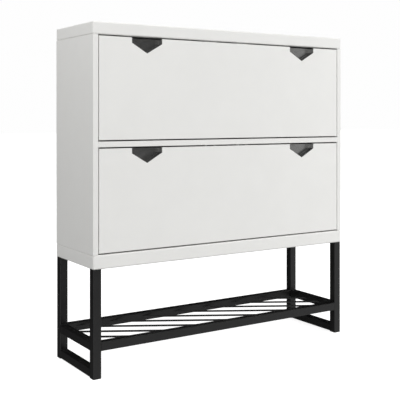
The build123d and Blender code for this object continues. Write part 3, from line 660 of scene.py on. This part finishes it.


# The edge tones below are a painted highlight: a lighter colour laid on the outer edges.
WHITE_BOARD = Finish(
    "white melamine", (0.822, 0.820, 0.800), (0.808, 0.806, 0.786), roughness=0.42,
    grain=0.9, patch=90.0, depth=0.012, specular=0.45,
    edge_highlight_reach=0.8, edge_highlight_tone=(0.86, 0.86, 0.855), edge_highlight_strength=0.25,
)
BIN_BOARD = Finish(
    "white bin board", (0.78, 0.78, 0.77), (0.76, 0.76, 0.752), roughness=0.5,
    grain=0.9, patch=70.0, depth=0.015, specular=0.4,
    edge_highlight_reach=0.8, edge_highlight_tone=(0.82, 0.82, 0.81), edge_highlight_strength=0.25,
)
BACK_BOARD = HardboardFinish(
    "hardboard", (0.30, 0.185, 0.10), (0.42, 0.28, 0.165), roughness=0.72,
    grain=0.6, patch=110.0, depth=0.05, specular=0.3,
)
BLACK_STEEL = SpeckledFinish(
    "black powder coat", (0.0050, 0.0050, 0.0051), (0.0065, 0.0065, 0.0066), roughness=0.42,
    grain=0.45, patch=35.0, depth=0.03, swing=0.07, specular=0.38,
    edge_highlight_reach=0.9, edge_highlight_tone=(0.022, 0.022, 0.0225), edge_highlight_strength=0.5,
)
PULL_ENAMEL = SpeckledFinish(
    "gunmetal enamel", (0.260, 0.260, 0.255), (0.290, 0.290, 0.285), roughness=0.24,
    grain=0.5, patch=14.0, depth=0.005, metallic=0.95, specular=0.5, swing=0.03,
    edge_highlight_reach=0.5, edge_highlight_tone=(0.34, 0.34, 0.335), edge_highlight_strength=0.3,
)
GREY_PLASTIC = SpeckledFinish(
    "grey moulded plastic", (0.36, 0.37, 0.38), (0.39, 0.40, 0.41), roughness=0.48,
    grain=0.35, patch=40.0, depth=0.02, specular=0.45,
    edge_highlight_reach=0.6, edge_highlight_tone=(0.45, 0.46, 0.47), edge_highlight_strength=0.4,
)
WHITE_PLASTIC = SpeckledFinish(
    "white moulded plastic", (0.74, 0.74, 0.72), (0.70, 0.70, 0.685), roughness=0.45,
    grain=0.35, patch=20.0, depth=0.015,
)
FOOT_PLASTIC = SpeckledFinish(
    "black polyethylene", (0.012, 0.012, 0.012), (0.017, 0.017, 0.017), roughness=0.6,
    grain=0.4, patch=12.0, depth=0.03, specular=0.3,
)
ZINC = BrushedFinish(
    "bright zinc", (0.60, 0.61, 0.62), (0.50, 0.52, 0.55), roughness=0.30,
    grain=0.7, patch=9.0, depth=0.006, metallic=1.0, swing=0.1,
    edge_highlight_reach=0.4, edge_highlight_tone=(0.75, 0.76, 0.77), edge_highlight_strength=0.5,
)
FIXING_STEEL = BrushedFinish(
    "zinc-plated screw", (0.56, 0.56, 0.55), (0.45, 0.45, 0.45), roughness=0.34,
    grain=0.4, patch=4.0, depth=0.005, metallic=1.0, swing=0.1, stretch=(1.0, 1.0, 0.1),
)
PIN_STEEL = BrushedFinish(
    "ground steel", (0.55, 0.55, 0.54), (0.48, 0.48, 0.48), roughness=0.24,
    grain=0.4, patch=6.0, depth=0.004, metallic=1.0, swing=0.08, stretch=(1.0, 0.05, 0.05),
)
FERRITE = Finish(
    "magnet", (0.06, 0.058, 0.056), (0.09, 0.088, 0.085), roughness=0.55,
    grain=0.3, patch=3.0, depth=0.02, metallic=0.3,
)
BEECH = TurnedWoodFinish(
    "beech", (0.52, 0.34, 0.19), (0.62, 0.43, 0.26), roughness=0.6,
    grain=0.5, patch=8.0, depth=0.03, specular=0.3,
)

SLOT_FINISHES: dict[str, Finish] = {
    "white_board": WHITE_BOARD,
    "bin_board": BIN_BOARD,
    "back_board": BACK_BOARD,
    "black_steel": BLACK_STEEL,
    "foot_plastic": FOOT_PLASTIC,
    "zinc_fittings": ZINC,
    "steel_fixings": FIXING_STEEL,
    "beech": BEECH,
    "white_plastic": WHITE_PLASTIC,
    "pin_steel": PIN_STEEL,
    "magnet": FERRITE,
    "dark_pull": PULL_ENAMEL,
    "grey_plastic": GREY_PLASTIC,
}


def dress(body: bpy.types.Object, finish: Finish) -> None:
    """Give every material slot of an object one finish."""
    if not body.material_slots:
        body.data.materials.append(finish.material())
    for material_slot in body.material_slots:
        material_slot.material = finish.material()


def hand_over(work: Workpiece, name: str, body: str, slot: str, stands_for: Sequence[str]) -> None:
    """Name a finished piece, give it its finish and let it move with its body.

    Args:
        work: The finished piece.
        name: Its name.
        body: The moving body that it belongs to.
        slot: The record's material slot that it takes its finish from.
        stands_for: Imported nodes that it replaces.
    """
    work.body.name = name
    work.body.data.name = name
    work.body.data.materials.clear()
    dress(work.body, SLOT_FINISHES[slot])
    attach(work.body, body)
    if stands_for:
        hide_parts(*stands_for)
    log.info("%s: %d faces, rides on %s", name, len(work.body.data.polygons), body)


# ---- sub-assemblies ----------------------------------------------------------------------------


@dataclass
class CabinetFrame:
    """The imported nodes. Boards, tubes, brackets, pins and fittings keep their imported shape."""

    subparts: list[dict[str, str]] = field(
        default_factory=lambda: frame["record"]["subparts"]
    )

    def dress_all(self) -> None:
        """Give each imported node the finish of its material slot."""
        for part in self.subparts:
            node = frame["nodes"][part["node"]]
            dress(node, SLOT_FINISHES[part["material_slot"]])
            log.info("%s: %s", node.name, part["material_slot"])


@dataclass
class FingerPull:
    """Pressed cup that lines one house-shaped notch, with a flange behind the flap."""

    bay: Bay
    side: Side
    half_width: float = 50.0 * MM
    shoulder: float = 15.5 * MM
    point: float = 44.5 * MM
    play: float = 0.2 * MM
    wall: float = 1.5 * MM
    flange: float = 6.0 * MM
    top_recess: float = 0.5 * MM
    edge_round: float = 0.45 * MM
    round_steps: int = 3

    def outline_block(self, grow: float, front: float, rear: float) -> Workpiece:
        """House-shaped block between two depths, with its outline grown outwards.

        Args:
            grow: Growth of the outline, negative to shrink it.
            front: Depth of its front face.
            rear: Depth of its rear face.

        Returns:
            The block.
        """
        low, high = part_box(f"{self.bay.value}_pull_{self.side.value}")
        centre = (low.x + high.x) / 2
        flap_top = high.z + self.top_recess
        slope = (self.point - self.shoulder) / self.half_width
        slant = math.hypot(1.0, slope)
        half = self.half_width + grow
        # The shoulder lies where the grown upright sides meet the grown slopes.
        shoulder_z = flap_top - self.shoulder - (slant - slope) * grow
        point_z = flap_top - self.point - slant * grow
        block = Workpiece.block(
            Vector((centre - half, front, shoulder_z)), Vector((centre + half, rear, high.z))
        )
        block.open()
        bpy.ops.mesh.select_all(action="SELECT")
        bpy.ops.mesh.bisect(plane_co=(centre, 0, 0), plane_no=(1, 0, 0))
        block.pick(Pick.POINTS,
                   lambda at, _: abs(at.x - centre) < NEAR and at.z < shoulder_z + NEAR)
        bpy.ops.transform.translate(value=(0, 0, point_z - shoulder_z))
        block.close()
        return block

    def build(self) -> None:
        """Model the cup and its flange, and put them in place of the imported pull."""
        node = f"{self.bay.value}_pull_{self.side.value}"
        low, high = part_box(node)
        flap_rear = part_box(f"{self.bay.value}_flap_panel")[1].y
        cup = self.outline_block(-self.play, low.y, high.y)
        cup.open()
        cup.pick(Pick.FACES,
                 lambda _, normal: normal.y < -SQUARE_ON or normal.z > SQUARE_ON)
        bpy.ops.mesh.delete(type="FACE")
        cup.close()
        cup.modify("SOLIDIFY", thickness=self.wall, offset=-1.0, use_even_offset=True)
        cup.soften(self.edge_round, segments=self.round_steps)
        rim = self.outline_block(self.flange, flap_rear, flap_rear + self.wall)
        hollow = self.outline_block(-self.play, flap_rear - self.wall, flap_rear + 2 * self.wall)
        hollow.open()
        hollow.pick(Pick.FACES, lambda _, normal: normal.z > SQUARE_ON)
        bpy.ops.transform.translate(value=(0, 0, self.shoulder))
        hollow.close()
        rim.cut(hollow)
        rim.soften(self.edge_round / 2)
        cup.join([rim])
        cup.tidy(smooth_angle=35.0)
        cup.modify("WEIGHTED_NORMAL", keep_sharp=True, weight=100)
        hand_over(cup, f"{self.bay.value}_finger_pull_{self.side.value}",
                  f"{self.bay.value}_flap", "dark_pull", [node])


@dataclass
class PanScrew:
    """Pan-head screw with a cross recess, modelled with its head up and seat at zero.

    The head's rounding and the recess's depth are shares of its height, the recess's arms a
    share of its radius, their half width a share of their length, and the thread's core and
    the tip shares of the shank's radius.
    """

    head_height: float
    shank_radius: float
    thread_pitch: float = 1.2 * MM
    sides: int = 24
    shank_sides: int = 12
    rounding: float = 0.45
    rounding_steps: int = 4
    recess_depth: float = 0.62
    recess_arm: float = 0.62
    recess_blade: float = 0.24
    thread_core: float = 0.78
    tip: float = 0.25

    def model(self, head_radius: float, length: float) -> Workpiece:
        """One screw.

        Args:
            head_radius: Radius of the head.
            length: Whole length with the head.

        Returns:
            The screw, standing at the origin.
        """
        head = Workpiece.rod(head_radius, 0.0, self.head_height, self.sides)
        head.open()
        head.pick(Pick.FACES, lambda _, normal: normal.z > SQUARE_ON)
        bpy.ops.mesh.bevel(offset=self.head_height * self.rounding,
                           segments=self.rounding_steps, affect="EDGES")
        head.close()
        arm = head_radius * self.recess_arm
        blade = arm * self.recess_blade
        depth = self.head_height * self.recess_depth
        top = self.head_height + depth
        low = self.head_height - depth
        head.cut(
            Workpiece.block(Vector((-arm, -blade, low)), Vector((arm, blade, top))),
            Workpiece.block(Vector((-blade, -arm, low)), Vector((blade, arm, top))),
        )
        shank_length = length - self.head_height
        shank = Workpiece.rod(self.shank_radius, -shank_length, shank_length, self.shank_sides)
        shank.open()
        shank.pick(Pick.EDGES, lambda _, run: abs(run.z) > SQUARE_ON)
        rings = 2 * int(shank_length / self.thread_pitch) - 1
        bpy.ops.mesh.subdivide(number_cuts=rings)
        step = shank_length / (rings + 1)
        shank.pick(Pick.POINTS, lambda at, _: round(-at.z / step) % 2 == 1)
        bpy.ops.transform.resize(value=(self.thread_core, self.thread_core, 1.0),
                                 center_override=(0, 0, 0))
        shank.pick(Pick.POINTS, lambda at, _: at.z < -shank_length + NEAR)
        bpy.ops.transform.resize(value=(self.tip, self.tip, 1.0), center_override=(0, 0, 0))
        shank.close()
        head.join([shank])
        head.tidy(smooth_angle=32.0)
        return head


@dataclass
class ScrewSet:
    """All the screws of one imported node, made as copies of one model.

    Each is turned by `turn_step` degrees more than the one before, as a hand leaves them.
    """

    node: str
    body: str
    outward: Place
    screw: PanScrew
    slot: str = "steel_fixings"
    turn_step: float = 37.0

    def build(self) -> None:
        """Put a modelled screw in place of each plain one."""
        outward = Vector(self.outward)
        axis = max(range(3), key=lambda number: abs(outward[number]))
        spans = solids_of(self.node)
        size = spans[0][1] - spans[0][0]
        head_radius = min(size[number] for number in range(3) if number != axis) / 2
        model = self.screw.model(head_radius, size[axis])
        copies = []
        for number, (low, high) in enumerate(spans):
            seat = (low + high) / 2
            seat[axis] = high[axis] if outward[axis] > 0 else low[axis]
            seat -= outward * self.screw.head_height
            turn = Matrix.Rotation(math.radians(self.turn_step * number), 4, "Z")
            copies.append(model.copy(facing(outward, seat) @ turn))
        model.discard()
        copies[0].join(copies[1:])
        hand_over(copies[0], self.node + "_fitted", self.body, self.slot, [self.node])


@dataclass
class BackNails:
    """Wire nails round the back panel, with domed heads.

    The dome is a share of the head's height. The inset and the tip of the point are shares of
    the shank's radius.
    """

    node: str = "back_panel_nails"
    head_height: float = 1.0 * MM
    head_sides: int = 20
    dome: float = 0.6
    dome_steps: int = 4
    shank_radius: float = 0.8 * MM
    shank_sides: int = 10
    inset: float = 0.2
    tip: float = 0.2

    def build(self) -> None:
        """Put a modelled nail in place of each plain one."""
        spans = solids_of(self.node)
        size = spans[0][1] - spans[0][0]
        nail = Workpiece.rod(size.x / 2, 0.0, self.head_height, self.head_sides)
        nail.open()
        nail.pick(Pick.FACES, lambda _, normal: normal.z > SQUARE_ON)
        bpy.ops.mesh.bevel(offset=self.head_height * self.dome, segments=self.dome_steps,
                           affect="EDGES")
        nail.close()
        length = size.y - self.head_height
        shank = Workpiece.rod(self.shank_radius, -length, length, self.shank_sides)
        shank.open()
        shank.pick(Pick.FACES, lambda _, normal: normal.z < -SQUARE_ON)
        bpy.ops.mesh.inset(thickness=self.shank_radius * self.inset)
        bpy.ops.transform.resize(value=(self.tip, self.tip, 1.0), center_override=(0, 0, 0))
        shank.close()
        nail.join([shank])
        nail.tidy(smooth_angle=40.0)
        copies = []
        for low, high in spans:
            middle = (low + high) / 2
            seat = Vector((middle.x, high.y - self.head_height, middle.z))
            copies.append(nail.copy(facing(Vector(REARWARD), seat)))
        nail.discard()
        copies[0].join(copies[1:])
        hand_over(copies[0], "back_panel_nails_driven", "root", "steel_fixings", [self.node])


@dataclass
class StandWelds:
    """Weld beads of the tube stand and the weld rings at the wire ends.

    Ripples and ends are shares of the bead's radius; a ring's radius and thickness are shares
    of the wire's.
    """

    bead_radius: float = 1.7 * MM
    bead_length: float = 21.0 * MM
    bead_sides: int = 12
    bead_end: float = 0.5
    ripple: float = 0.82
    ripples: int = 15
    ring_radius: float = 1.1
    ring_thickness: float = 0.5
    ring_sides: int = 16
    wire_angle: float = math.radians(30.0)

    @property
    def wire_radius(self) -> float:
        """Radius of the rack's wires, half the height of their box."""
        low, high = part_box("rack_wires")
        return (high.z - low.z) / 2

    def bead(self) -> Workpiece:
        """One rippled bead, standing on the Z axis about the origin."""
        bead = Workpiece.rod(self.bead_radius, -self.bead_length / 2, self.bead_length,
                             self.bead_sides)
        bead.open()
        bead.pick(Pick.EDGES, lambda _, run: abs(run.z) > SQUARE_ON)
        bpy.ops.mesh.subdivide(number_cuts=self.ripples)
        step = self.bead_length / (self.ripples + 1)
        bead.pick(Pick.POINTS, lambda at, _: round(at.z / step) % 2 == 0)
        bpy.ops.transform.resize(value=(self.ripple, self.ripple, 1.0),
                                 center_override=(0, 0, 0))
        bead.pick(Pick.POINTS, lambda at, _: abs(at.z) > self.bead_length / 2 - NEAR)
        bpy.ops.transform.resize(value=(self.bead_end, self.bead_end, 1.0),
                                 center_override=(0, 0, 0))
        bead.close()
        bead.tidy(smooth_angle=60.0)
        return bead

    def bead_places(self) -> list[Matrix]:
        """Where the beads lie: above and below each rail, above each foot bar, at both ends."""
        places = []
        for end in ("front", "rear"):
            low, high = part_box(f"rack_rail_{end}")
            for x in (low.x, high.x):
                for z in (low.z, high.z):
                    places.append(facing(Vector(REARWARD), Vector((x, (low.y + high.y) / 2, z))))
        for bar in ("rack_side_rail", "foot_bar"):
            for side in Side:
                low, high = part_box(f"{bar}_{side.value}")
                heights = (low.z, high.z) if bar == "rack_side_rail" else (high.z,)
                for y in (low.y, high.y):
                    for z in heights:
                        middle = Vector(((low.x + high.x) / 2, y, z))
                        places.append(facing(Vector(RIGHTWARD), middle))
        return places

    def ring_places(self) -> list[Matrix]:
        """Where the weld rings lie, each stretched to the slanting wire it goes round."""
        side_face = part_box("rack_rail_front")[1].x
        rear_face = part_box("rack_side_rail_left")[1].y
        over_end = self.wire_radius / math.sin(self.wire_angle)
        over_side = self.wire_radius / math.cos(self.wire_angle)
        end_stretch = Matrix.Scale(1 / math.sin(self.wire_angle), 4, (1, 0, 0))
        side_stretch = Matrix.Scale(1 / math.cos(self.wire_angle), 4, (0, 1, 0))
        places = []
        for low, high in solids_of("rack_wires"):
            z = (low.z + high.z) / 2
            for sign, outer_x, outer_y in ((-1, low.x, high.y), (1, high.x, low.y)):
                if abs(abs(outer_x) - side_face) < NEAR:
                    y = outer_y + sign * over_side
                    inward = Vector((-sign, 0, 0))
                    places.append(Matrix.Translation((outer_x, y, z)) @ side_stretch
                                  @ facing(inward, Vector((0, 0, 0))))
                else:
                    x = outer_x - sign * over_end
                    inward = Vector((0, sign, 0))
                    places.append(Matrix.Translation((x, -sign * rear_face, z)) @ end_stretch
                                  @ facing(inward, Vector((0, 0, 0))))
        return places

    def build(self) -> None:
        """Model the beads and rings as one piece of the stand."""
        bead = self.bead()
        pieces = [bead.copy(place) for place in self.bead_places()]
        bead.discard()
        ring = Workpiece.ring(self.wire_radius * self.ring_radius,
                              self.wire_radius * self.ring_thickness, self.ring_sides)
        ring.tidy(smooth_angle=80.0)
        pieces += [ring.copy(place) for place in self.ring_places()]
        ring.discard()
        pieces[0].join(pieces[1:])
        pieces[0].tidy(smooth_angle=60.0)
        hand_over(pieces[0], "stand_welds", "root", "black_steel", [])


# ---- studio ------------------------------------------------------------------------------------


@dataclass(frozen=True)
class SoftBox:
    """One soft light, which lights surfaces but isn't seen itself or in their shine."""

    name: str
    place: Place
    aim: Place
    size: tuple[float, float]
    power: float

    def hang(self) -> None:
        """Put the light in the scene."""
        lamp = bpy.data.lights.new(self.name, "AREA")
        lamp.shape = "RECTANGLE"
        lamp.size, lamp.size_y = self.size
        lamp.energy = self.power
        body = bpy.data.objects.new(self.name, lamp)
        body.location = self.place
        body.rotation_euler = (
            (Vector(self.aim) - Vector(self.place)).to_track_quat("-Z", "Y").to_euler()
        )
        body.visible_camera = False
        body.visible_glossy = False
        bpy.context.scene.collection.objects.link(body)


@dataclass(frozen=True)
class Studio:
    """Pale floor, pale surroundings, soft lights and the camera.

    `surround` and `floor_shine` are the strengths away from the bright side and toward it.
    A panel's four numbers are where it starts and ends along its axis, from -1 to 1, and its
    strength at both. `panels_fade` and `horizon` are where all the panels together come in,
    to the front and upwards from the floor. The floor lies `floor_drop` under the feet.
    """

    eye: Place = (-1.4079, -2.1467, 0.7334)
    turn: float = -32.83
    lens: float = 71.49
    drop: float = -0.2087
    sidestep: float = -0.0009
    surround: Ends = (0.03, 0.93)
    surround_from: float = -0.3
    bright_side: Place = (0.0, -0.91, 0.41)
    backdrop: float = 0.99
    floor_shine: Ends = (0.06, 1.35)
    right_panel: Fade = (0.57, 0.70, 0.08, 1.2)
    left_panel: Fade = (-0.38, -0.66, 0.0, 1.9)
    ceiling_panel: Fade = (0.40, 0.75, 0.0, 0.8)
    panels_fade: Ends = (0.0, -0.3)
    horizon: Ends = (-0.27, -0.17)
    sky_strength: float = 1.0
    sky_spread: float = 70.0
    floor_size: float = 60.0
    floor_drop: float = 0.2 * MM
    floor_tone: Colour = (0.45, 0.45, 0.45)
    floor_glow: float = 0.85
    boxes: tuple[SoftBox, ...] = (
        SoftBox("key light", (3.95, -2.2, 1.6), (0.2, -0.1, 0.7), (3.2, 2.6), 118.0),
        SoftBox("left fill", (-1.7, -0.5, 2.0), (-0.46, 0.0, 1.5), (0.8, 0.8), 16.0),
        SoftBox("rear fill", (0.6, 4.5, 3.0), (0.0, 0.0, 0.5), (2.5, 2.5), 60.0),
    )

    def floor(self) -> None:
        """Lay the floor, which looks white but throws back only part of the light."""
        clear_bench()
        bpy.ops.mesh.primitive_plane_add(size=self.floor_size, location=(0, 0, -self.floor_drop))
        floor = bpy.context.object
        floor.name = "floor"
        paint = bpy.data.materials.new("pale floor")
        paint.use_nodes = True
        sheet = Sheet(paint.node_tree)
        seen = sheet.put("ShaderNodeLightPath").outputs["Is Camera Ray"]
        shader = sheet.put("ShaderNodeBsdfPrincipled", {
            "Base Color": (*self.floor_tone, 1.0),
            "Roughness": 0.9,
            "Specular IOR Level": 0.0,
            "Emission Color": (1.0, 1.0, 1.0, 1.0),
            "Emission Strength": sheet.span(seen, 0.0, 1.0, 0.0, self.floor_glow),
        })
        sheet.put("ShaderNodeOutputMaterial", {"Surface": shader.outputs[0]})
        floor.data.materials.append(paint)
        floor.visible_glossy = False

    def shine(self, sheet: Sheet, way: bpy.types.NodeSocket,
              toward: bpy.types.NodeSocket) -> bpy.types.NodeSocket:
        """What shiny surfaces mirror: the bright floor, two side panels and a ceiling panel.

        Args:
            sheet: The world's sheet.
            way: Direction looked in.
            toward: How far that direction points to the bright side, from -1 to 1.

        Returns:
            The strength of the light from that direction.
        """
        parts = sheet.put("ShaderNodeSeparateXYZ", {0: way})
        across, along, up = (parts.outputs[axis] for axis in "XYZ")
        right = sheet.span(across, *self.right_panel)
        left = sheet.span(across, *self.left_panel)
        above = sheet.span(up, *self.ceiling_panel)
        panels = sheet.sum_up("ADD", sheet.sum_up("ADD", right, left), above)
        ahead = sheet.span(along, *self.panels_fade, 0.0, 1.0)
        studio = sheet.sum_up("MULTIPLY", panels, ahead)
        ground = sheet.span(toward, -1.0, 1.0, *self.floor_shine)
        return sheet.mix(sheet.span(up, *self.horizon, 0.0, 1.0), ground, studio)

    def surroundings(self) -> None:
        """White as seen directly; as a source of light dimmer, and brighter on one side."""
        world = bpy.data.worlds.new("studio")
        world.use_nodes = True
        sheet = Sheet(world.node_tree)
        way = sheet.put("ShaderNodeTexCoord").outputs["Generated"]
        toward = sheet.put("ShaderNodeVectorMath", {0: way, 1: self.bright_side},
                           operation="DOT_PRODUCT").outputs["Value"]
        soft = sheet.span(toward, self.surround_from, 1.0, *self.surround)
        ray = sheet.put("ShaderNodeLightPath")
        lit = sheet.mix(ray.outputs["Is Glossy Ray"], soft, self.shine(sheet, way, toward))
        strength = sheet.mix(ray.outputs["Is Camera Ray"], lit, self.backdrop)
        glow = sheet.put("ShaderNodeBackground", {"Color": (1.0, 1.0, 1.0, 1.0),
                                                  "Strength": strength})
        sheet.put("ShaderNodeOutputWorld", {"Surface": glow.outputs[0]})
        bpy.context.scene.world = world

    def sky(self) -> None:
        """Broad light from straight above, which is also seen in shiny surfaces."""
        lamp = bpy.data.lights.new("overhead light", "SUN")
        lamp.energy = self.sky_strength
        lamp.angle = math.radians(self.sky_spread)
        bpy.context.scene.collection.objects.link(bpy.data.objects.new(lamp.name, lamp))

    def camera(self) -> None:
        """Set up a level camera at the left front."""
        lens = bpy.data.cameras.new("camera")
        lens.lens = self.lens
        lens.sensor_width = 36.0
        lens.shift_x = self.sidestep
        lens.shift_y = self.drop
        body = bpy.data.objects.new("camera", lens)
        body.location = self.eye
        body.rotation_euler = (math.pi / 2, 0.0, math.radians(self.turn))
        bpy.context.scene.collection.objects.link(body)
        bpy.context.scene.camera = body

    def set_up(self) -> None:
        """Build the whole studio."""
        bpy.context.scene.view_settings.view_transform = "Standard"
        self.floor()
        self.surroundings()
        self.sky()
        for box in self.boxes:
            box.hang()
        self.camera()


def main() -> None:
    """Build the studio, the finishes and the modelled pieces, in order."""
    logging.basicConfig(level=logging.INFO, format="%(name)s %(message)s")
    Studio().set_up()
    CabinetFrame().dress_all()
    for bay in Bay:
        for side in Side:
            FingerPull(bay, side).build()
    small = PanScrew(head_height=2.2 * MM, shank_radius=1.75 * MM)
    tiny = PanScrew(head_height=1.0 * MM, shank_radius=1.2 * MM, thread_pitch=0.9 * MM)
    heavy = PanScrew(head_height=2.8 * MM, shank_radius=2.5 * MM, thread_pitch=1.8 * MM)
    for bay in Bay:
        flap = f"{bay.value}_flap"
        ScrewSet(f"{bay.value}_bracket_screws", flap, REARWARD, small).build()
        ScrewSet(f"{bay.value}_pull_screws", flap, REARWARD, tiny).build()
    ScrewSet("catch_screws", "root", DOWNWARD, small).build()
    ScrewSet("wall_bracket_screws", "root", DOWNWARD, small).build()
    ScrewSet("frame_screws", "root", DOWNWARD, heavy).build()
    BackNails().build()
    StandWelds().build()


if __name__ == "__main__":
    main()
